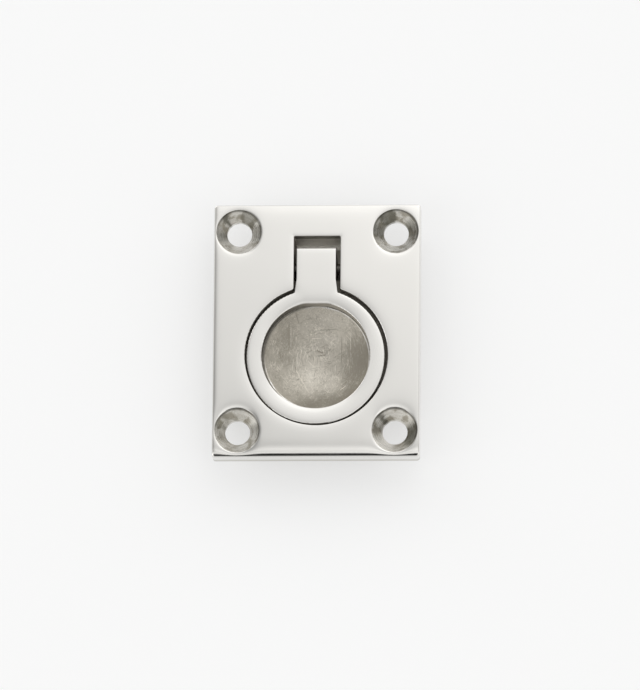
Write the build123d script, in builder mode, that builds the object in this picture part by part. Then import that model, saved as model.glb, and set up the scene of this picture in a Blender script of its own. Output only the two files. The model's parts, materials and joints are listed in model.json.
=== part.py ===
from build123d import *
from math import asin, atan2, cos, degrees, hypot, radians, sin, sqrt
import os

# Recessed ring pull, in millimetres.
# The origin is the middle of the plate's back, on the surface that it is screwed to.
# +Z points out of the polished face, and +Y points to the hinge end.

# Plate
plate_width = 38.1
plate_height = 47.6
plate_thickness = 3.2
plate_corner_radius = 0.6
plate_edge_round = 0.3

# Countersunk screw holes, one in each corner
screw_hole_diameter = 4.6
countersink_diameter = 8.3
countersink_angle = 82
countersink_edge_round = 0.12
countersink_side_land = 0.45
countersink_end_land = 0.95

# Pull ring and its neck
ring_outer_diameter = 25.4
ring_hole_diameter = 19.9
ring_hole_offset = 0.25
ring_thickness = 2.4
ring_wall_height = 0.7
ring_edge_round = 0.15
hole_flat_width = 4.4
hole_flat_round = 4.0
neck_width = 7.25
neck_reach = 20.6
neck_flare_width = 0.33
neck_flare_length = 2.5

# How the ring lies in its recess
recess_drop = 4.6
ring_gap = 0.45
ring_low = 0.25
ring_aside = 0.15
neck_side_gap = 0.675
seat_clearance = 0.1
recess_shoulder_round = 0.5
slot_corner_round = 0.2
recess_edge_round = 0.12

# Hinge
pin_diameter = 1.8
pin_cover = 0.1
pin_inset = 0.3
pin_end_chamfer = 0.2
pin_running_clearance = 0.05
knuckle_wall = 1.2
knuckle_gap = 0.6
heel_length = 3.1
heel_round = 0.5
lift_angle = 95
swing_clearance = 0.2

# Cup behind the plate
bowl_rim_diameter = 19.2
bowl_depth = 3.9
bowl_rim_round = 0.3
cup_wall = 1.9
cup_floor = 1.5
cup_draft = 3
cup_corner_round = 2.0
cup_bottom_round = 1.2

# Heights that the pieces share
face_z = plate_thickness
ring_under_z = face_z - ring_thickness
ledge_z = ring_under_z - seat_clearance
pin_radius = pin_diameter / 2
pin_z = -(pin_radius + pin_cover)
pin_depth = face_z - pin_z

# Places of the screw holes
countersink_radius = countersink_diameter / 2
hole_spacing_x = plate_width - 2 * (countersink_radius + countersink_side_land)
hole_spacing_y = plate_height - 2 * (countersink_radius + countersink_end_land)

# Places along the plate
ring_radius = ring_outer_diameter / 2
ring_x = -ring_aside
recess_y = -recess_drop
ring_y = recess_y - ring_low
neck_end_y = ring_y + neck_reach
pin_y = neck_end_y - heel_length

# Neck's flared root, and the hole in the ring with a short flat under the neck
neck_root_width = neck_width + 2 * neck_flare_width
neck_root_y = ring_y + sqrt(ring_radius**2 - (neck_root_width / 2) ** 2)
neck_flare_angle = degrees(atan2(neck_flare_length, neck_flare_width))
ring_hole_radius = ring_hole_diameter / 2
hole_flat_y = ring_hole_offset + sqrt(ring_hole_radius**2 - (hole_flat_width / 2) ** 2)

# Knuckle, and the way that its heel swings about the pin
bore_radius = pin_radius + pin_running_clearance
knuckle_radius = bore_radius + knuckle_wall
heel_swing = hypot(heel_length - heel_round, pin_depth - heel_round) + heel_round
lift = radians(lift_angle)
heel_drop = (heel_length - heel_round) * sin(lift) - (pin_depth - heel_round) * cos(lift) + heel_round

# Bevel under the ring, so that its shoulders beside the neck pass the recess rim as it lifts
shoulder_reach = pin_y - neck_root_y
shoulder_rise = pin_depth - ring_thickness
exit_angle = asin(pin_depth / hypot(shoulder_reach, shoulder_rise)) - atan2(shoulder_rise, shoulder_reach)
shoulder_travel = shoulder_reach * (1 - cos(exit_angle)) + shoulder_rise * sin(exit_angle)
bevel_width = shoulder_travel - ring_gap - ring_low + swing_clearance
bevel_height = ring_thickness - ring_wall_height
bevel_top_z = face_z - ring_wall_height
bevel_angle = degrees(atan2(bevel_width, bevel_height))

# Recess, hinge pocket, bowl and cup
recess_radius = ring_radius + ring_gap
slot_width = neck_width + 2 * neck_side_gap
slot_end_y = pin_y + heel_swing + swing_clearance
pocket_start_y = pin_y - knuckle_radius - knuckle_gap
pocket_floor_z = pin_z - heel_drop - swing_clearance
bowl_rim_radius = bowl_rim_diameter / 2
bowl_radius = (bowl_rim_radius**2 + bowl_depth**2) / (2 * bowl_depth)
bowl_floor_z = ledge_z - bowl_depth
cup_depth = cup_floor - min(bowl_floor_z, pocket_floor_z)
cup_radius = recess_radius + cup_wall
cup_neck_width = slot_width + 2 * cup_wall
cup_end_y = slot_end_y + cup_wall


def keyhole(y, radius, neck, end_y, shoulder_round, end_round):
    """Sketch a disc about (0, y) with a straight neck up to end_y."""
    with BuildSketch() as outline:
        with Locations((0, y)):
            Circle(radius)
            Rectangle(neck, end_y - y, align=(Align.CENTER, Align.MIN))
        fillet(outline.vertices().group_by(Axis.Y)[-1], end_round)
        corners = outline.vertices().filter_by(lambda corner: corner.Y > y)
        fillet(corners.group_by(Axis.Y)[0], shoulder_round)
    return outline.sketch


# The casting: plate, cup, recess, bowl, hinge pocket and holes
with BuildPart() as recess_plate:
    with BuildSketch():
        RectangleRounded(plate_width, plate_height, plate_corner_radius)
    extrude(amount=plate_thickness)

    with BuildSketch():
        add(keyhole(recess_y, cup_radius, cup_neck_width, cup_end_y, cup_corner_round, cup_corner_round))
    extrude(amount=-cup_depth, taper=cup_draft)
    fillet(recess_plate.edges().group_by(Axis.Z)[0], cup_bottom_round)

    with BuildSketch(Plane.XY.offset(face_z)):
        add(
            keyhole(
                recess_y, recess_radius, slot_width, slot_end_y, recess_shoulder_round, slot_corner_round
            )
        )
    extrude(amount=ledge_z - face_z, mode=Mode.SUBTRACT)

    with BuildSketch(Plane.XY.offset(face_z)):
        with Locations((0, (pocket_start_y + slot_end_y) / 2)):
            RectangleRounded(slot_width, slot_end_y - pocket_start_y, slot_corner_round)
    extrude(amount=pocket_floor_z - face_z, mode=Mode.SUBTRACT)

    with BuildSketch(Plane.XZ.offset(recess_drop)):
        with BuildLine():
            bowl_top = Line((0, ledge_z), (bowl_rim_radius, ledge_z))
            RadiusArc(bowl_top @ 1, (0, bowl_floor_z), bowl_radius)
            Line((0, bowl_floor_z), bowl_top @ 0)
        make_face()
    revolve(axis=Axis((0, recess_y, 0), (0, 0, 1)), mode=Mode.SUBTRACT)

    with BuildSketch(Plane.YZ):
        with Locations((pin_y, pin_z)):
            Circle(pin_radius)
    extrude(amount=cup_neck_width, both=True, mode=Mode.SUBTRACT)

    with Locations(Plane.XY.offset(face_z)):
        with GridLocations(hole_spacing_x, hole_spacing_y, 2, 2):
            CounterSinkHole(
                screw_hole_diameter / 2,
                countersink_radius,
                depth=plate_thickness,
                counter_sink_angle=countersink_angle,
            )

    bowl = recess_plate.faces().filter_by(GeomType.SPHERE)[0]
    fillet(bowl.edges().group_by(Axis.Z)[-1], bowl_rim_round)
    face = recess_plate.faces().sort_by(Axis.Z)[-1]
    *countersink_rims, recess_rim = face.inner_wires().sort_by(Wire.length)
    fillet(recess_rim.edges(), recess_edge_round)
    fillet([edge for rim in countersink_rims for edge in rim.edges()], countersink_edge_round)
    face = recess_plate.faces().sort_by(Axis.Z)[-1]
    fillet(face.outer_wire().edges(), plate_edge_round)

# The ring and its neck, bevelled underneath, with the knuckle that hangs from the neck's end
with BuildPart() as pull_ring:
    for top_z, height, taper in ((face_z, ring_wall_height, 0), (bevel_top_z, bevel_height, bevel_angle)):
        with BuildSketch(Plane.XY.offset(top_z)):
            with Locations((ring_x, ring_y)):
                Circle(ring_radius)
                Rectangle(neck_width, pin_y - ring_y, align=(Align.CENTER, Align.MIN))
            with Locations((ring_x, neck_root_y)):
                Trapezoid(
                    neck_root_width,
                    neck_flare_length,
                    neck_flare_angle,
                    align=(Align.CENTER, Align.MIN),
                )
        extrude(amount=-height, taper=taper)

    with BuildSketch(Plane.YZ.offset(ring_x)) as side:
        with Locations((pin_y, pin_z)):
            Circle(knuckle_radius)
        with Locations((neck_end_y, ring_under_z)):
            Rectangle(knuckle_radius + heel_length, ring_thickness, align=(Align.MAX, Align.MIN))
        make_hull()
        heel = side.vertices().sort_by_distance((neck_end_y, face_z))[0]
        fillet(heel, heel_round)
        with Locations((pin_y, pin_z)):
            Circle(bore_radius, mode=Mode.SUBTRACT)
    extrude(amount=neck_width / 2, both=True)

    with BuildSketch(Plane.XY.offset(face_z)) as hole:
        with Locations((ring_x, ring_y + ring_hole_offset)):
            Circle(ring_hole_radius)
        with Locations((ring_x, ring_y + hole_flat_y)):
            Rectangle(ring_hole_diameter, ring_radius, align=(Align.CENTER, Align.MIN), mode=Mode.SUBTRACT)
        fillet(hole.vertices().group_by(Axis.Y)[-1], hole_flat_round)
    extrude(amount=-ring_thickness, mode=Mode.SUBTRACT)

    top_face = pull_ring.faces().sort_by(Axis.Z)[-1]
    fillet(top_face.edges().sort_by(Axis.Y)[:-1], ring_edge_round)

# The pin that the ring's knuckle turns on
with BuildPart() as hinge_pin:
    with BuildSketch(Plane.YZ):
        with Locations((pin_y, pin_z)):
            Circle(pin_radius)
    extrude(amount=cup_neck_width / 2 - pin_inset, both=True)
    ends = hinge_pin.edges().group_by(Axis.X)
    chamfer(ends[0] + ends[-1], pin_end_chamfer)

pieces = {"recess_plate": recess_plate, "pull_ring": pull_ring, "hinge_pin": hinge_pin}
os.makedirs("parts", exist_ok=True)
for name, piece in pieces.items():
    piece.part.label = name
    export_step(piece.part, f"parts/{name}.step")
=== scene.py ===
import json
from math import cos, e, hypot, radians, sin

import bpy
from mathutils import Matrix, Vector


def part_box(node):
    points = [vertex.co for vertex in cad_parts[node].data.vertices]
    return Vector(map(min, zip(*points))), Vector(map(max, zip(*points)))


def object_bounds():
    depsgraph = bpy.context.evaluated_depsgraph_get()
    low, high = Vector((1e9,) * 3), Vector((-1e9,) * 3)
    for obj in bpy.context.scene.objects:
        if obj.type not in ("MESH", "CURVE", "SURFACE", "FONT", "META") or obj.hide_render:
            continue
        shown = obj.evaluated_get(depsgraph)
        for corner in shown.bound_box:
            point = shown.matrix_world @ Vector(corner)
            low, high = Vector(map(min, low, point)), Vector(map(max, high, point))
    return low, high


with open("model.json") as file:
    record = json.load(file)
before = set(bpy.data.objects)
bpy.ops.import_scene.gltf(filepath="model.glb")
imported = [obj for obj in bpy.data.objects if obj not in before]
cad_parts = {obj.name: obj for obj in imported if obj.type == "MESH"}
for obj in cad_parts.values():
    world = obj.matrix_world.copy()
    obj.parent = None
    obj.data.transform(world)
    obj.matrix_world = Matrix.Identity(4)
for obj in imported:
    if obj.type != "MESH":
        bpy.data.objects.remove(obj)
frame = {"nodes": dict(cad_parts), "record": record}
cad_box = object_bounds()
mm = 0.001
micron = 0.000001

# Places that the frame gives, in metres
_, plate_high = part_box("recess_plate")
ring_low, ring_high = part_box("pull_ring")
screws = next(mount["dims"] for mount in frame["record"]["mounts"] if mount["name"] == "screw_holes")
hole_x = screws["spacing_x_mm"] / 2 * mm
hole_y = screws["spacing_y_mm"] / 2 * mm
face_z = plate_high.z
ring_radius = (ring_high.x - ring_low.x) / 2
ring_x = (ring_high.x + ring_low.x) / 2
ring_y = ring_low.y + ring_radius
floor_z = cad_box[0].z

# Sizes of the part, in metres
countersink_radius = 4.15 * mm
recess_y = -4.6 * mm
recess_radius = 13.15 * mm
slot_half_width = 4.3 * mm
slot_end_y = 17.87 * mm
neck_half_width = 3.625 * mm
hole_in_ring_y = -4.6 * mm
hole_in_ring_radius = 9.95 * mm
hole_flat_y = 5.10 * mm
pocket_start_y = 9.9 * mm
bowl_radius = 9.6 * mm
ledge_z = 0.7 * mm

# How far the finishes reach at the edges, and the room left for the facets of curved faces
bowl_rim_width = 0.4 * mm
polished_depth = 0.1 * mm
ring_edge_depth = 0.2 * mm
# width of the painted gap shade on the rounded edges at the lower left
gap_shade_width = 0.6 * mm
slack = 0.05 * mm

# Colours of the finishes, as linear light
# Tones are the darker and the lighter colour of a mottled finish
nickel = (0.80, 0.79, 0.765)
hazy_nickel = (0.785, 0.775, 0.748)
dull_nickel = (0.46, 0.435, 0.385)
bare_casting = (0.57, 0.54, 0.485)
casting_pit = (0.24, 0.225, 0.195)
recess_wall_tones = (0.24, 0.225, 0.195), (0.36, 0.34, 0.30)
ring_wall_tones = (0.12, 0.11, 0.095), (0.20, 0.19, 0.165)
mid_wall_band_tone = (0.42, 0.40, 0.36)
bore_shade_tones = (0.08, 0.075, 0.065), (0.52, 0.49, 0.435)
# pocket casting paler than its own colour: painted light for the dim hinge pocket
pocket_painted_light_tones = (0.90, 0.87, 0.81), (0.97, 0.95, 0.89)
ring_cast_tones = (0.60, 0.58, 0.53), (0.74, 0.72, 0.67)
# dark tone on the castings: painted shade high in the hinge pocket and on its floor beside the neck, and
# the ring's darker part next to its face
dark_casting_tone = (0.28, 0.265, 0.23)
ledge_shade_tones = (0.22, 0.205, 0.175), (0.36, 0.34, 0.30)
worn_rim = (0.56, 0.53, 0.47)
rim_painted_shadow = (0.30, 0.28, 0.24)
turned_tones = (0.66, 0.645, 0.605), (0.81, 0.795, 0.755)
dull_turning = (0.43, 0.405, 0.35)
# painted shadow along the countersinks' lips
painted_lip_shadow = (0.09, 0.085, 0.07)
# painted dark and light reflections for the wedges in the countersinks
painted_dark_reflection = (0.17, 0.165, 0.135)
painted_bright_reflection = (0.86, 0.84, 0.80)
bowl_tones = (0.34, 0.315, 0.265), (0.80, 0.76, 0.68)
# pin steel darkened partly as painted shade for the deep pocket
steel_tones = (0.24, 0.23, 0.205), (0.34, 0.325, 0.295)
sky_color = (1.0, 0.995, 0.985, 1.0)
table_paint = (0.97, 0.98, 0.985, 1.0)
white = (1.0, 1.0, 1.0, 1.0)

# Painted reflections in the countersinks, dark and light wedges standing in for what the cones reflect:
# direction and half width in degrees, where each ends and where it is full, its colour, and its strength
# in the top left, top right, bottom left and bottom right hole
countersink_painted_reflections = (
    (135, 14, 4, painted_dark_reflection, (0.85, 0.45, 0.0, 0.75)),
    (160, 16, 6, painted_dark_reflection, (0.0, 0.0, 0.50, 0.0)),
    (160, 45, 20, painted_dark_reflection, (0.25, 0.60, 0.20, 0.22)),
    (114, 28, 14, painted_dark_reflection, (0.0, 0.85, 0.0, 0.0)),
    (56, 32, 22, painted_dark_reflection, (0.58, 0.0, 0.0, 0.0)),
    (28, 28, 10, painted_dark_reflection, (0.0, 0.45, 0.0, 0.0)),
    (-15, 34, 14, painted_dark_reflection, (0.05, 0.14, 0.0, 0.0)),
    (-18, 58, 26, painted_dark_reflection, (0.0, 0.12, 0.0, 0.72)),
    (195, 26, 12, painted_dark_reflection, (0.40, 0.20, 0.0, 0.0)),
    (235, 50, 20, painted_bright_reflection, (0.30, 0.0, 0.45, 0.95)),
    (10, 40, 20, painted_bright_reflection, (0.0, 0.0, 0.5, 0.0)),
    (280, 44, 20, painted_bright_reflection, (0.5, 0.0, 0.0, 0.2)),
)

# Scuffs in the bowl: direction in degrees, and how much lighter they are
bowl_scuffs = (
    (86, 0.3),
    (100, -0.3),
    (70, 0.23),
    (10, -0.23),
    (-52, 0.26),
    (35, -0.23),
)

# Long scratches in the bowl: both ends in millimetres, and how much lighter each one is
bowl_scratches = (
    ((-5.25, 2.9), (-5.35, -3.0), -0.30),
    ((-4.9, 2.2), (-5.0, -2.4), 0.22),
    ((4.4, 0.4), (4.3, -5.4), -0.24),
    ((6.0, 0.3), (6.05, -3.0), 0.26),
    ((-0.4, 1.2), (4.3, 1.35), -0.26),
    ((-1.3, -0.2), (0.9, -0.15), 0.24),
    ((-4.4, -5.5), (-1.5, -10.8), 0.24),
    ((-4.1, 4.3), (-3.4, 2.0), -0.24),
)

# Dark gouges and a bright nick in the bowl: both ends in millimetres
upper_gouge = (-0.5, -2.35), (0.95, -2.85)
lower_gouge = (-0.17, -3.44), (1.6, -3.1)
bright_nick = (4.1, -10.3), (5.4, -9.3)

# Strength of the sky by the Y and by the X of its direction, which both go from -1 to 1
sky_along = (
    (-1.0, 0.66), (-0.6, 0.70), (-0.26, 1.0), (-0.18, 1.03), (-0.1, 0.93), (-0.02, 1.04), (0.1, 0.74),
    (0.173, 0.865), (0.225, 0.96), (0.277, 1.05), (0.36, 1.28), (0.55, 1.3), (0.75, 1.15), (1.0, 1.0),
)
sky_across = (
    (-1.0, 1.7), (-0.4, 1.2), (-0.25, 0.95), (-0.098, 0.92), (-0.056, 0.97), (-0.004, 1.03), (0.3, 1.2),
    (1.0, 1.7),
)
backdrop_strength = 0.93

# The table: its size in metres, the strength of its own glow, and the share of that in how it is seen
table_size = 6.0
table_glow = 0.99
table_glow_share = 0.5


class Graph:
    """A node tree, filled by methods that take numbers, vectors or other nodes' sockets."""

    def __init__(self, tree):
        self.tree = tree
        tree.nodes.clear()

    def put(self, kind, inputs=(), **settings):
        """Add a node with the given settings and inputs."""
        made = self.tree.nodes.new(kind)
        for name, value in settings.items():
            setattr(made, name, value)
        for key, value in dict(inputs).items():
            if isinstance(value, bpy.types.NodeSocket):
                self.tree.links.new(value, made.inputs[key])
            else:
                made.inputs[key].default_value = value
        return made

    def math(self, operation, first, second=0.0):
        return self.put("ShaderNodeMath", {0: first, 1: second}, operation=operation).outputs[0]

    def add(self, *terms):
        total = terms[0]
        for term in terms[1:]:
            total = self.math("ADD", total, term)
        return total

    def times(self, *factors):
        product = factors[0]
        for factor in factors[1:]:
            product = self.math("MULTIPLY", product, factor)
        return product

    def minus(self, first, second):
        return self.math("SUBTRACT", first, second)

    def over(self, first, second):
        return self.math("DIVIDE", first, second)

    def largest(self, *values):
        result = values[0]
        for value in values[1:]:
            result = self.math("MAXIMUM", result, value)
        return result

    def soft_largest(self, first, second, width):
        """Larger of two values, with the change-over rounded off over a width."""
        inputs = {0: first, 1: second, 2: width}
        return self.put("ShaderNodeMath", inputs, operation="SMOOTH_MAX").outputs[0]

    def absolute(self, value):
        return self.math("ABSOLUTE", value)

    def size(self, *parts):
        """Length of a vector from its parts."""
        return self.math("SQRT", self.add(*[self.times(part, part) for part in parts]))

    def toward(self, x, y, direction):
        """How far a point lies in a direction, given in degrees from X towards Y."""
        turn = radians(direction)
        return self.add(self.times(x, cos(turn)), self.times(y, sin(turn)))

    def split(self, vector):
        return self.put("ShaderNodeSeparateXYZ", {0: vector}).outputs[:3]

    def join(self, x, y, z=0.0):
        return self.put("ShaderNodeCombineXYZ", {0: x, 1: y, 2: z}).outputs[0]

    def place(self):
        """Position on the piece, in metres, which moves with it."""
        return self.put("ShaderNodeTexCoord").outputs["Object"]

    def fade(self, value, start, end, low=0.0, high=1.0):
        """Go smoothly from low to high as the value goes from start to end."""
        inputs = {"Value": value, "From Min": start, "From Max": end, "To Min": low, "To Max": high}
        return self.put("ShaderNodeMapRange", inputs, interpolation_type="SMOOTHSTEP").outputs[0]

    def near(self, value, middle, outer, inner):
        """Rise from 0 at the outer distance from a middle value to 1 at the inner distance."""
        return self.fade(self.absolute(self.minus(value, middle)), outer, inner)

    def decay(self, distance, reach):
        """Fall from 1 at no distance by a factor of e over each reach."""
        return self.math("POWER", e, self.times(self.largest(distance, 0.0), -1 / reach))

    def noise(self, place, size, detail=2.0, roughness=0.5):
        """Even noise from 0 to 1 with features of the given size."""
        inputs = {"Vector": place, "Scale": 1 / size, "Detail": detail, "Roughness": roughness}
        return self.put("ShaderNodeTexNoise", inputs).outputs["Fac"]

    def grain(self, place, size):
        """Noise like the fine skin of an unpolished casting."""
        return self.noise(place, size, detail=4, roughness=0.65)

    def spread(self, noise, low=0.0, high=1.0):
        """Take noise, which mostly keeps near its middle, all the way from low to high."""
        return self.fade(noise, 0.3, 0.7, low, high)

    def swing(self, noise, amount):
        """Noise about zero instead of one half, times an amount."""
        return self.times(self.minus(noise, 0.5), amount)

    def stretch(self, place, turn, length):
        """Draw a pattern out to a length along a line, turned by degrees from X about Z."""
        inputs = {"Vector": place, "Rotation": (0, 0, radians(turn)), "Scale": (length, 1, 1)}
        return self.put("ShaderNodeMapping", inputs, vector_type="TEXTURE").outputs[0]

    def ramp(self, value, stops):
        """Read a value off a smooth line through the stops, given as (place, height)."""
        start, end = stops[0][0], stops[-1][0]
        tallest = max(height for _, height in stops)
        share = self.times(self.minus(value, start), 1 / (end - start))
        made = self.put("ShaderNodeValToRGB", {0: share})
        line = made.color_ramp
        line.interpolation = "EASE"
        while len(line.elements) < len(stops):
            line.elements.new(1.0)
        for element, (place, height) in zip(line.elements, stops):
            element.position = (place - start) / (end - start)
            element.color = (*[height / tallest] * 3, 1)
        return self.times(made.outputs[0], tallest)

    def blend(self, share, first, second):
        """Mix two colours, given as numbers or as another blend."""
        inputs = {"Factor": share}
        for key, color in ((6, first), (7, second)):
            inputs[key] = (*color, 1) if isinstance(color, tuple) else color
        return self.put("ShaderNodeMix", inputs, data_type="RGBA").outputs[2]

    def bump(self, height, keep_level=False):
        """Normal of a surface with a height in metres. Level facets can be kept from being smoothed."""
        inputs = {"Height": height, "Distance": 1.0}
        if keep_level:
            geometry = self.put("ShaderNodeNewGeometry").outputs
            level = self.fade(self.absolute(self.split(geometry["True Normal"])[2]), 0.99, 0.999)
            smooth_and_true = {0: level, 4: geometry["Normal"], 5: geometry["True Normal"]}
            inputs["Normal"] = self.put("ShaderNodeMix", smooth_and_true, data_type="VECTOR").outputs[1]
        return self.put("ShaderNodeBump", inputs).outputs[0]

    def metal(self, color, roughness, normal, **constants):
        inputs = {"Base Color": color, "Metallic": 1.0, "Roughness": roughness, "Normal": normal}
        self.finish(self.put("ShaderNodeBsdfPrincipled", {**inputs, **constants}))

    def mix(self, share, first, second):
        """Mix two shaders."""
        return self.put("ShaderNodeMixShader", {0: share, 1: first.outputs[0], 2: second.outputs[0]})

    def finish(self, shader):
        self.put("ShaderNodeOutputMaterial", {"Surface": shader.outputs[0]})


def new_material(name):
    material = bpy.data.materials.new(name)
    material.use_nodes = True
    return material, Graph(material.node_tree)


def hairlines(g, place, turn, spacing):
    """Height of fine parallel scratches."""
    drawn = g.stretch(place, turn, length=30)
    return g.times(g.noise(drawn, spacing, detail=3), 0.35 * micron)


def crown(g, x, y, curve_radius):
    """Height of the slight overall roundness that buffing leaves on a face."""
    return g.times(g.add(g.times(x, x), g.times(y, y)), -0.5 / curve_radius)


def buffed_edge(g, distance, slope, reach):
    """Height of a face that rolls off towards an edge at the given distance."""
    return g.times(g.decay(distance, reach), -slope * reach)


def past_middle(g, value):
    """Go from 0 on the low side of the plate's middle to 1 on the high side."""
    return g.fade(value, -5 * mm, 5 * mm)


def lengthwise(g, across, along):
    """How far an edge faces along the plate, the way that it was buffed: 1 along, 0.4 across."""
    return g.fade(g.over(g.absolute(along), g.size(across, along)), 0.2, 0.9, 0.4, 1.0)


def plate_relief(g, x, y):
    """Height of the plate's face, rolled off at its rim, its screw holes and its recess."""
    left = g.add(x, plate_high.x)
    right = g.minus(plate_high.x, x)
    top = g.minus(plate_high.y, y)
    bottom = g.add(y, plate_high.y)
    across = g.minus(g.absolute(x), hole_x)
    along = g.minus(g.absolute(y), hole_y)
    hole = g.minus(g.size(across, along), countersink_radius)
    disc = g.minus(g.size(x, g.minus(y, recess_y)), recess_radius)
    beside_slot = g.largest(g.minus(g.absolute(x), slot_half_width), 0.0)
    past_slot = g.largest(g.minus(y, slot_end_y), g.minus(recess_y, y), 0.0)
    slot = g.size(beside_slot, past_slot)
    upper = past_middle(g, y)
    upper_hole = buffed_edge(g, hole, slope=0.06, reach=0.7 * mm)
    lower_hole = buffed_edge(g, hole, slope=0.14, reach=0.9 * mm)
    return g.add(
        crown(g, x, y, curve_radius=900 * mm),
        buffed_edge(g, left, slope=0.20, reach=0.45 * mm),
        buffed_edge(g, right, slope=0.12, reach=0.5 * mm),
        buffed_edge(g, top, slope=0.05, reach=1.6 * mm),
        buffed_edge(g, bottom, slope=0.42, reach=1.05 * mm),
        g.times(upper_hole, lengthwise(g, across, along), upper),
        g.times(lower_hole, lengthwise(g, across, along), g.minus(1.0, upper)),
        buffed_edge(g, hole, slope=0.30, reach=0.12 * mm),
        buffed_edge(g, disc, slope=0.09, reach=0.8 * mm),
        buffed_edge(g, slot, slope=0.10, reach=0.35 * mm),
    )


def ring_relief(g, x, y):
    """Height of the ring's face, tilted slightly and rolled off at its outline and at its hole."""
    from_middle = g.minus(x, ring_x)
    disc = g.minus(ring_radius, g.size(from_middle, g.minus(y, ring_y)))
    neck_side = g.minus(neck_half_width, g.absolute(from_middle))
    neck = g.math("MINIMUM", neck_side, g.minus(y, ring_y))
    outline = g.soft_largest(disc, neck, width=1.5 * mm)
    neck_end = g.minus(ring_high.y, y)
    from_hole_y = g.minus(y, hole_in_ring_y)
    round_hole = g.minus(g.size(from_middle, from_hole_y), hole_in_ring_radius)
    hole = g.largest(round_hole, g.minus(y, hole_flat_y))
    hole_edge = buffed_edge(g, hole, slope=0.13, reach=1.1 * mm)
    outline_edge = buffed_edge(g, outline, slope=0.12, reach=0.5 * mm)
    less_on_neck = g.fade(y, 6 * mm, 9.5 * mm, 1.0, 0.35)
    tilt = 0.003
    return g.add(
        crown(g, x, y, curve_radius=1500 * mm),
        g.times(y, -tilt),
        g.times(outline_edge, less_on_neck),
        buffed_edge(g, neck_end, slope=0.06, reach=0.8 * mm),
        g.times(hole_edge, lengthwise(g, from_middle, from_hole_y)),
    )


def polished_nickel(name, relief):
    """Mirror nickel with the relief, waves and hairlines of hand buffing, duller and darker down its
    sides: partly a duller finish, partly a painted reflection of the table's shadow.
    """
    material, g = new_material(name)
    place = g.place()
    x, y, z = g.split(place)
    waviness = g.times(g.noise(place, 9 * mm, detail=1), 9 * micron)
    scratches = g.add(
        hairlines(g, place, turn=24, spacing=0.16 * mm),
        hairlines(g, place, turn=-61, spacing=0.22 * mm),
    )
    normal = g.bump(g.add(relief(g, x, y), waviness, scratches))
    haze = g.noise(place, 6 * mm, detail=5, roughness=0.6)
    face = g.blend(haze, hazy_nickel, nickel)
    # Darker towards the foot of the sides: partly duller plating, partly a painted reflection of the
    # shadow on the table
    dull_and_shaded_low = g.fade(z, 1.9 * mm, 0.0)
    color = g.blend(dull_and_shaded_low, face, dull_nickel)
    roughness = g.spread(haze, 0.07, 0.13)
    g.metal(color, roughness, normal)
    return material


def plated_wall(name, tones):
    """Nickel over an unpolished wall: dark, grainy, and lighter in a band half way down."""
    material, g = new_material(name)
    place = g.place()
    _, _, z = g.split(place)
    grain = g.grain(place, 0.35 * mm)
    patches = g.noise(place, 2.2 * mm, detail=4)
    plated = g.blend(g.spread(patches), *tones)
    half_way = g.times(g.fade(z, 2.1 * mm, 1.8 * mm), g.fade(z, 1.0 * mm, 1.3 * mm))
    color = g.blend(half_way, plated, mid_wall_band_tone)
    roughness = g.spread(grain, 0.55, 0.70)
    normal = g.bump(g.times(grain, 12 * micron))
    g.metal(color, roughness, normal, Metallic=0.4)
    return material


def bore_with_painted_shade(name):
    """Wall of the ring's hole, with painted shade: dark at the left and lighter towards the right, for
    the shadow at the upper left.
    """
    material, g = new_material(name)
    place = g.place()
    x, _, _ = g.split(place)
    grain = g.grain(place, 0.35 * mm)
    # Painted shade: dark at the left, lighter towards the right
    lit_towards_right = g.add(g.fade(x, -10 * mm, 5 * mm), g.swing(grain, 0.2))
    color = g.blend(lit_towards_right, *bore_shade_tones)
    roughness = 0.6
    normal = g.bump(g.times(grain, 12 * micron))
    g.metal(color, roughness, normal, Metallic=0.4)
    return material


def darker_above(g, z, height):
    """Share of the darker colour on a casting, from about a height upwards."""
    return g.fade(z, height - 0.2 * mm, height + 0.3 * mm)


def pocket_painted_shade(g, x, y, z):
    """Share of painted shade in the hinge pocket: high on its walls, and on its floor beside the neck,
    where shade falls.
    """
    beside_neck = g.fade(g.absolute(x), neck_half_width - 0.9 * mm, neck_half_width - 0.5 * mm)
    before_end = g.fade(y, slot_end_y - 0.5 * mm, slot_end_y - 1.1 * mm)
    return g.largest(darker_above(g, z, ledge_z + 0.3 * mm), g.times(beside_neck, before_end))


def ring_darkening(g, x, y, z):
    """Share of the darker colour on the unpolished parts of the ring: only next to its face."""
    return darker_above(g, z, face_z)


def cast_skin(name, tones, metallic, smoothest, roughest, darkening):
    """Pale skin of a casting, darker in places by the given share."""
    material, g = new_material(name)
    place = g.place()
    grain = g.grain(place, 0.4 * mm)
    pale = g.blend(g.spread(grain), *tones)
    color = g.blend(darkening(g, *g.split(place)), pale, dark_casting_tone)
    roughness = g.spread(grain, smoothest, roughest)
    normal = g.bump(g.times(grain, 15 * micron))
    g.metal(color, roughness, normal, Metallic=metallic)
    return material


def burnished_rim_with_painted_shadow(name):
    """Edge of the bowl, rubbed bright by fingers, with the ring's painted shadow at the upper left."""
    material, g = new_material(name)
    place = g.place()
    x, y, _ = g.split(place)
    wear = g.noise(place, 1.4 * mm, detail=4)
    rubbed = g.blend(g.fade(wear, 0.35, 0.65), worn_rim, hazy_nickel)
    # Painted shadow of the ring on the upper left of the rim
    upper_left = g.toward(x, g.minus(y, recess_y), direction=145)
    color = g.blend(g.fade(upper_left, 5.8 * mm, 8.6 * mm), rubbed, rim_painted_shadow)
    roughness = g.spread(wear, 0.38, 0.26)
    normal = g.bump(g.times(wear, 10 * micron))
    g.metal(color, roughness, normal)
    return material


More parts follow.
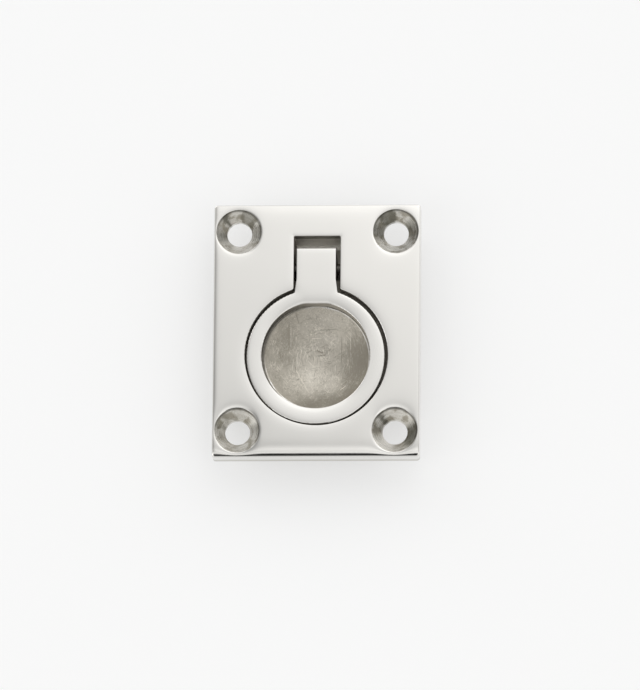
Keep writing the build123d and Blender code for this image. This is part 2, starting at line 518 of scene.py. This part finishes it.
def ledge_with_painted_shade(name):
    """Floor of the recess under the ring, dark with painted shade for the shadow under the ring and at
    the bottom of the gap.
    """
    material, g = new_material(name)
    place = g.place()
    grain = g.grain(place, 0.5 * mm)
    color = g.blend(g.spread(grain), *ledge_shade_tones)
    roughness = g.spread(grain, 0.60, 0.75)
    normal = g.bump(g.times(grain, 12 * micron))
    g.metal(color, roughness, normal, Metallic=0.4)
    return material


def at_corner(g, x, y, strengths):
    """Value at each screw hole: top left, top right, bottom left and bottom right."""
    top_left, top_right, low_left, low_right = strengths
    right = past_middle(g, x)
    upper = g.add(g.times(right, top_right - top_left), top_left)
    lower = g.add(g.times(right, low_right - low_left), low_left)
    return g.add(lower, g.times(past_middle(g, y), g.minus(upper, lower)))


def turned_countersink(name):
    """Machined cone, with rings left by the tool, a sheen across them, painted reflections in wedges and
    a painted shadow on the lip.
    """
    material, g = new_material(name)
    place = g.place()
    x, y, _ = g.split(place)
    across = g.minus(g.absolute(x), hole_x)
    along = g.minus(g.absolute(y), hole_y)
    radius = g.size(across, along)
    outward_x = g.times(g.math("SIGN", x), across)
    outward_y = g.times(g.math("SIGN", y), along)
    change_round = 0.03
    round_cone = g.join(radius, g.times(x, change_round), g.times(y, change_round))
    rings = g.noise(round_cone, 0.17 * mm, detail=3)
    patches = g.fade(g.noise(place, 1.6 * mm, detail=4), 0.38, 0.56)
    color = g.blend(patches, dull_turning, g.blend(g.spread(rings), *turned_tones))
    just_under_one = 0.9999
    # Painted reflections: dark and light wedges laid over the turned colour, by direction round each hole
    for direction, edge, core, painted_tone, strengths in countersink_painted_reflections:
        facing = g.over(g.toward(outward_x, outward_y, direction), radius)
        angle = g.math("ARCCOSINE", g.times(facing, just_under_one))
        ragged = g.add(angle, g.swing(patches, 0.12))
        share = g.times(g.fade(ragged, radians(edge), radians(core)), at_corner(g, x, y, strengths))
        color = g.blend(share, color, painted_tone)
    # Painted shadow: the lip darkened on the side that faces about 65 degrees
    lip = g.fade(radius, countersink_radius - 0.36 * mm, countersink_radius - 0.12 * mm)
    upward = g.over(g.toward(outward_x, outward_y, direction=65), radius)
    lip_shadow_share = g.times(lip, g.fade(upward, -0.5, 0.3, 0.0, 0.75))
    color = g.blend(lip_shadow_share, color, painted_lip_shadow)
    roughness = g.spread(rings, 0.24, 0.34)
    normal = g.bump(g.times(rings, 6 * micron))
    outward = g.join(outward_x, outward_y)
    g.metal(color, roughness, normal, Tangent=outward, Anisotropic=0.7)
    return material


def gouge(g, x, y, ends, width):
    """Share of a surface, from 0 to 1, that a short straight scratch takes up."""
    start, end = [Vector(corner) * mm for corner in ends]
    middle = (start + end) / 2
    along = (end - start).normalized()
    from_x = g.minus(x, middle.x)
    from_y = g.minus(y, middle.y)
    ahead = g.absolute(g.add(g.times(from_x, along.x), g.times(from_y, along.y)))
    beside = g.absolute(g.minus(g.times(from_y, along.x), g.times(from_x, along.y)))
    half_length = (end - start).length / 2
    return g.times(g.fade(ahead, half_length, 0.5 * half_length), g.fade(beside, width, 0.2 * width))


def fine_scuffs(g, place):
    """How much lighter the fine scuffs make the bowl, in patches that each lie in one direction."""
    lighter = 0.0
    for turn, lightness in bowl_scuffs:
        patch = g.fade(g.noise(g.stretch(place, turn, length=1.6), 2.0 * mm), 0.44, 0.58)
        line = g.fade(g.noise(g.stretch(place, turn, length=14), 0.16 * mm), 0.54, 0.68)
        lighter = g.add(lighter, g.times(patch, line, lightness))
    return lighter


def long_scratches(g, x, y):
    """How much lighter the long scratches make the bowl."""
    lighter = 0.0
    for start, end, lightness in bowl_scratches:
        scratch = gouge(g, x, y, (start, end), width=0.14 * mm)
        lighter = g.add(lighter, g.times(scratch, lightness))
    return lighter


def matt_bowl(name):
    """Unpolished casting in the bowl, scuffed in patches, with a painted pool of light low down, painted
    shade at the right and upper left, a lighter upper half, and darker towards the bottom.
    """
    material, g = new_material(name)
    place = g.place()
    x, y, _ = g.split(place)
    patches = g.noise(place, 3.5 * mm, detail=4)
    mottle = g.noise(place, 0.6 * mm, detail=4, roughness=0.6)
    scuffs = fine_scuffs(g, place)
    gouges = g.add(*[gouge(g, x, y, ends, width=0.2 * mm) for ends in (upper_gouge, lower_gouge)])
    nick = gouge(g, x, y, bright_nick, width=0.16 * mm)
    # Painted pool of light low in the bowl
    from_light_pool = g.size(g.add(x, 1.2 * mm), g.times(g.add(y, 7.4 * mm), 0.8))
    painted_light_pool = g.decay(from_light_pool, reach=3.5 * mm)
    # Painted shade on the right side of the bowl
    painted_shade_right = g.times(g.fade(x, 2.8 * mm, 7.2 * mm), g.near(y, -6 * mm, 9.5 * mm, 2.5 * mm))
    # Darker towards the bottom, more to the right
    darker_low = g.times(g.fade(y, -9.3 * mm, -13.3 * mm), g.fade(x, -6 * mm, -1 * mm, 0.2, 1.0))
    # Painted shadow of the ring at the upper left
    from_shadow_upper_left = g.size(g.add(x, 5.6 * mm), g.times(y, 0.6))
    painted_shadow_upper_left = g.decay(from_shadow_upper_left, reach=3.2 * mm)
    plain_shade = 0.45
    shade = g.add(
        plain_shade,
        g.swing(patches, 0.5),
        # Painted light: the upper half made lighter
        g.times(g.fade(y, -6 * mm, 3 * mm), 0.10),
        g.swing(mottle, 0.30),
        g.times(painted_light_pool, 0.34),
        g.times(painted_shade_right, -0.40),
        g.times(painted_shadow_upper_left, -0.42),
        g.times(darker_low, -0.42),
        g.times(gouges, -0.35),
        g.times(nick, 0.6),
        long_scratches(g, x, y),
        scuffs,
    )
    color = g.blend(g.fade(shade, 0.0, 1.0), *bowl_tones)
    height = g.add(
        g.times(mottle, 10 * micron),
        g.times(scuffs, 14 * micron),
        g.times(gouges, -40 * micron),
        g.times(nick, -30 * micron),
    )
    roughness = g.spread(patches, 0.46, 0.60)
    g.metal(color, roughness, g.bump(height), Metallic=0.6)
    return material


def sand_casting(name):
    """Rough plated back of the casting, with darker pits."""
    material, g = new_material(name)
    place = g.place()
    grains = g.noise(place, 0.32 * mm, detail=5, roughness=0.65)
    patches = g.noise(place, 5 * mm, detail=5, roughness=0.6)
    plated = g.blend(g.fade(patches, 0.35, 0.65), dull_nickel, bare_casting)
    pits = g.fade(grains, 0.5, 0.3, 0.0, 0.35)
    color = g.blend(pits, plated, casting_pit)
    roughness = g.spread(grains, 0.50, 0.36)
    normal = g.bump(g.times(grains, 60 * micron), keep_level=True)
    g.metal(color, roughness, normal)
    return material


def drawn_steel(name):
    """Dark pin wire with fine lines along its length, partly tarnish and partly painted shade for the
    deep pocket.
    """
    material, g = new_material(name)
    lines = g.noise(g.stretch(g.place(), turn=0, length=40), 0.12 * mm, detail=3)
    color = g.blend(lines, *steel_tones)
    roughness = g.spread(lines, 0.38, 0.52)
    normal = g.bump(g.times(lines, 3 * micron))
    g.metal(color, roughness, normal)
    return material


def in_gap_shade(center, normal):
    """Whether a facet is on a rounded edge at the lower left, where ring and recess nearly touch: these
    take the dark wall finish as painted shade that widens the gap.
    """
    lower_left = Vector((-1, -1))
    half_span = radians(55)
    from_recess = Vector((center.x, center.y - recess_y))
    at_gap = abs(from_recess.length - recess_radius) < gap_shade_width
    on_face = abs(normal.z) >= 0.92
    return at_gap and not on_face and from_recess.angle(lower_left) < half_span


def plate_region(center, normal):
    """Name the finish of a facet of the plate."""
    x, y, z = center
    from_hole = hypot(abs(x) - hole_x, abs(y) - hole_y)
    from_recess = hypot(x, y - recess_y)
    in_slot = abs(x) < slot_half_width + slack and recess_y < y < slot_end_y + slack
    in_recess = from_recess < recess_radius + slack or in_slot
    on_back = normal.z <= -0.5
    on_cheek = abs(normal.x) >= 0.5
    polished_z = face_z - polished_depth
    # Painted shade: rounded edges beside the close gap take the dark wall finish
    if z > ledge_z and in_gap_shade(center, normal):
        return "wall"
    if from_hole < countersink_radius + slack and slack < z < polished_z + 2 * slack:
        return "countersink"
    if in_recess and z < polished_z and not on_back:
        if in_slot and y > pocket_start_y and not on_cheek:
            return "pocket"
        if abs(from_recess - bowl_radius) < bowl_rim_width and normal.z > 0.78:
            return "rim"
        if from_recess < bowl_radius:
            return "bowl"
        return "ledge" if normal.z > 0.8 else "wall"
    return "polished" if z > slack else "back"


def ring_region(center, normal):
    """Name the finish of a facet of the ring."""
    # Rounded edges in the painted gap shade are left out of the polished finish
    if center.z > face_z - ring_edge_depth and not in_gap_shade(center, normal):
        return "polished"
    in_pocket = center.y > pocket_start_y and abs(normal.x) < 0.5
    faces_down = normal.z < -0.2
    if in_pocket or faces_down:
        return "cast"
    from_hole = hypot(center.x - ring_x, center.y - hole_in_ring_y)
    return "bore" if from_hole < hole_in_ring_radius + slack else "wall"


def pin_region(center, normal):
    """Name the finish of a facet of the pin, which has only one."""
    return "steel"


def finish_node(node, materials, region_of):
    """Give each facet of a node the finish of the region that it lies in."""
    mesh = frame["nodes"][node].data
    mesh.materials.clear()
    names = list(materials)
    for material in materials.values():
        mesh.materials.append(material)
    for facet in mesh.polygons:
        facet.material_index = names.index(region_of(facet.center, facet.normal))


def studio_sky():
    """Soft light all round, brightest beyond the hinge end, with dark cards in front, left and right."""
    world = bpy.data.worlds.new("studio_sky")
    bpy.context.scene.world = world
    world.use_nodes = True
    g = Graph(world.node_tree)
    x, y, _ = g.split(g.put("ShaderNodeTexCoord").outputs["Generated"])
    front = g.times(g.fade(y, -0.2, -0.26), g.fade(y, -0.62, -0.54), g.near(x, -0.04, 0.26, 0.18))
    left = g.times(g.fade(x, -0.106, -0.30), g.near(y, 0.2, 0.4, 0.25))
    near_right = g.times(g.fade(x, 0.5, 0.6), g.fade(y, 0.15, 0.0))
    far_right = g.times(g.fade(x, 0.3, 0.4), g.near(y, 0.25, 0.45, 0.3))
    strength = g.times(g.ramp(y, sky_along), g.ramp(x, sky_across))
    for card, darkness in ((front, 0.97), (left, 0.6), (near_right, 0.3), (far_right, 0.4)):
        strength = g.times(strength, g.minus(1.0, g.times(card, darkness)))
    sky = g.put("ShaderNodeBackground", {"Color": sky_color, "Strength": strength})
    backdrop = g.put("ShaderNodeBackground", {"Strength": backdrop_strength})
    seen = g.put("ShaderNodeLightPath").outputs["Is Camera Ray"]
    g.put("ShaderNodeOutputWorld", {"Surface": g.mix(seen, sky, backdrop).outputs[0]})


def table():
    """Plain pale table that the pull lies on, which can be seen through from below."""
    half = table_size / 2
    corners = [(x, y, floor_z) for x, y in ((-half, -half), (half, -half), (half, half), (-half, half))]
    mesh = bpy.data.meshes.new("table")
    mesh.from_pydata(corners, [], [(0, 1, 2, 3)])
    floor = bpy.data.objects.new("table", mesh)
    bpy.context.scene.collection.objects.link(floor)
    material, g = new_material("table_white")
    matt = {"Base Color": table_paint, "Roughness": 0.9, "Specular IOR Level": 0.1}
    painted = g.put("ShaderNodeBsdfPrincipled", matt)
    glow = g.put("ShaderNodeEmission", {"Color": white, "Strength": table_glow})
    rays = g.put("ShaderNodeLightPath").outputs
    seen = g.largest(rays["Is Camera Ray"], rays["Is Glossy Ray"], rays["Is Transmission Ray"])
    from_above = g.mix(g.times(seen, table_glow_share), painted, glow)
    below = g.put("ShaderNodeNewGeometry").outputs["Backfacing"]
    clear = g.put("ShaderNodeBsdfTransparent")
    g.finish(g.mix(below, from_above, clear))
    mesh.materials.append(material)


def photo_camera():
    """Camera far above the face, leaning towards the foot of the plate."""
    image_height = 690
    pixels_per_metre = 5450
    distance = 1.6
    lean = radians(13)
    aside = radians(3.2)
    roll = radians(0.5)
    aim = Vector((0.674 * mm, -2.725 * mm, face_z))
    back = Vector((sin(aside), -sin(lean) * cos(aside), cos(lean) * cos(aside)))
    up = (Vector((0, 1, 0)) - back * back.y).normalized()
    right = up.cross(back)
    turned_right = cos(roll) * right + sin(roll) * up
    turned_up = cos(roll) * up - sin(roll) * right
    turned = Matrix((turned_right, turned_up, back)).transposed().to_4x4()
    data = bpy.data.cameras.new("camera")
    data.lens = data.sensor_width * pixels_per_metre * distance / image_height
    camera = bpy.data.objects.new("camera", data)
    camera.matrix_world = Matrix.Translation(aim + back * distance) @ turned
    bpy.context.scene.collection.objects.link(camera)
    bpy.context.scene.camera = camera


finish_node(
    "recess_plate",
    {
        "polished": polished_nickel("plate_polished", plate_relief),
        "countersink": turned_countersink("countersink_turned"),
        "wall": plated_wall("recess_wall", recess_wall_tones),
        # The pocket's skin is made paler as painted light, and darker high up and beside the neck as
        # painted shade
        "pocket": cast_skin(
            "pocket_cast",
            pocket_painted_light_tones,
            metallic=0.75,
            smoothest=0.28,
            roughest=0.43,
            darkening=pocket_painted_shade,
        ),
        "ledge": ledge_with_painted_shade("ledge_painted_shade"),
        "rim": burnished_rim_with_painted_shadow("rim_burnished_and_shaded"),
        "bowl": matt_bowl("bowl_matt"),
        "back": sand_casting("back_cast"),
    },
    plate_region,
)
finish_node(
    "pull_ring",
    {
        "polished": polished_nickel("ring_polished", ring_relief),
        "wall": plated_wall("ring_wall", ring_wall_tones),
        "bore": bore_with_painted_shade("bore_worn"),
        "cast": cast_skin(
            "ring_cast",
            ring_cast_tones,
            metallic=0.8,
            smoothest=0.65,
            roughest=0.80,
            darkening=ring_darkening,
        ),
    },
    ring_region,
)
finish_node("hinge_pin", {"steel": drawn_steel("pin_drawn")}, pin_region)
studio_sky()
table()
photo_camera()
bpy.context.scene.view_settings.view_transform = "Standard"
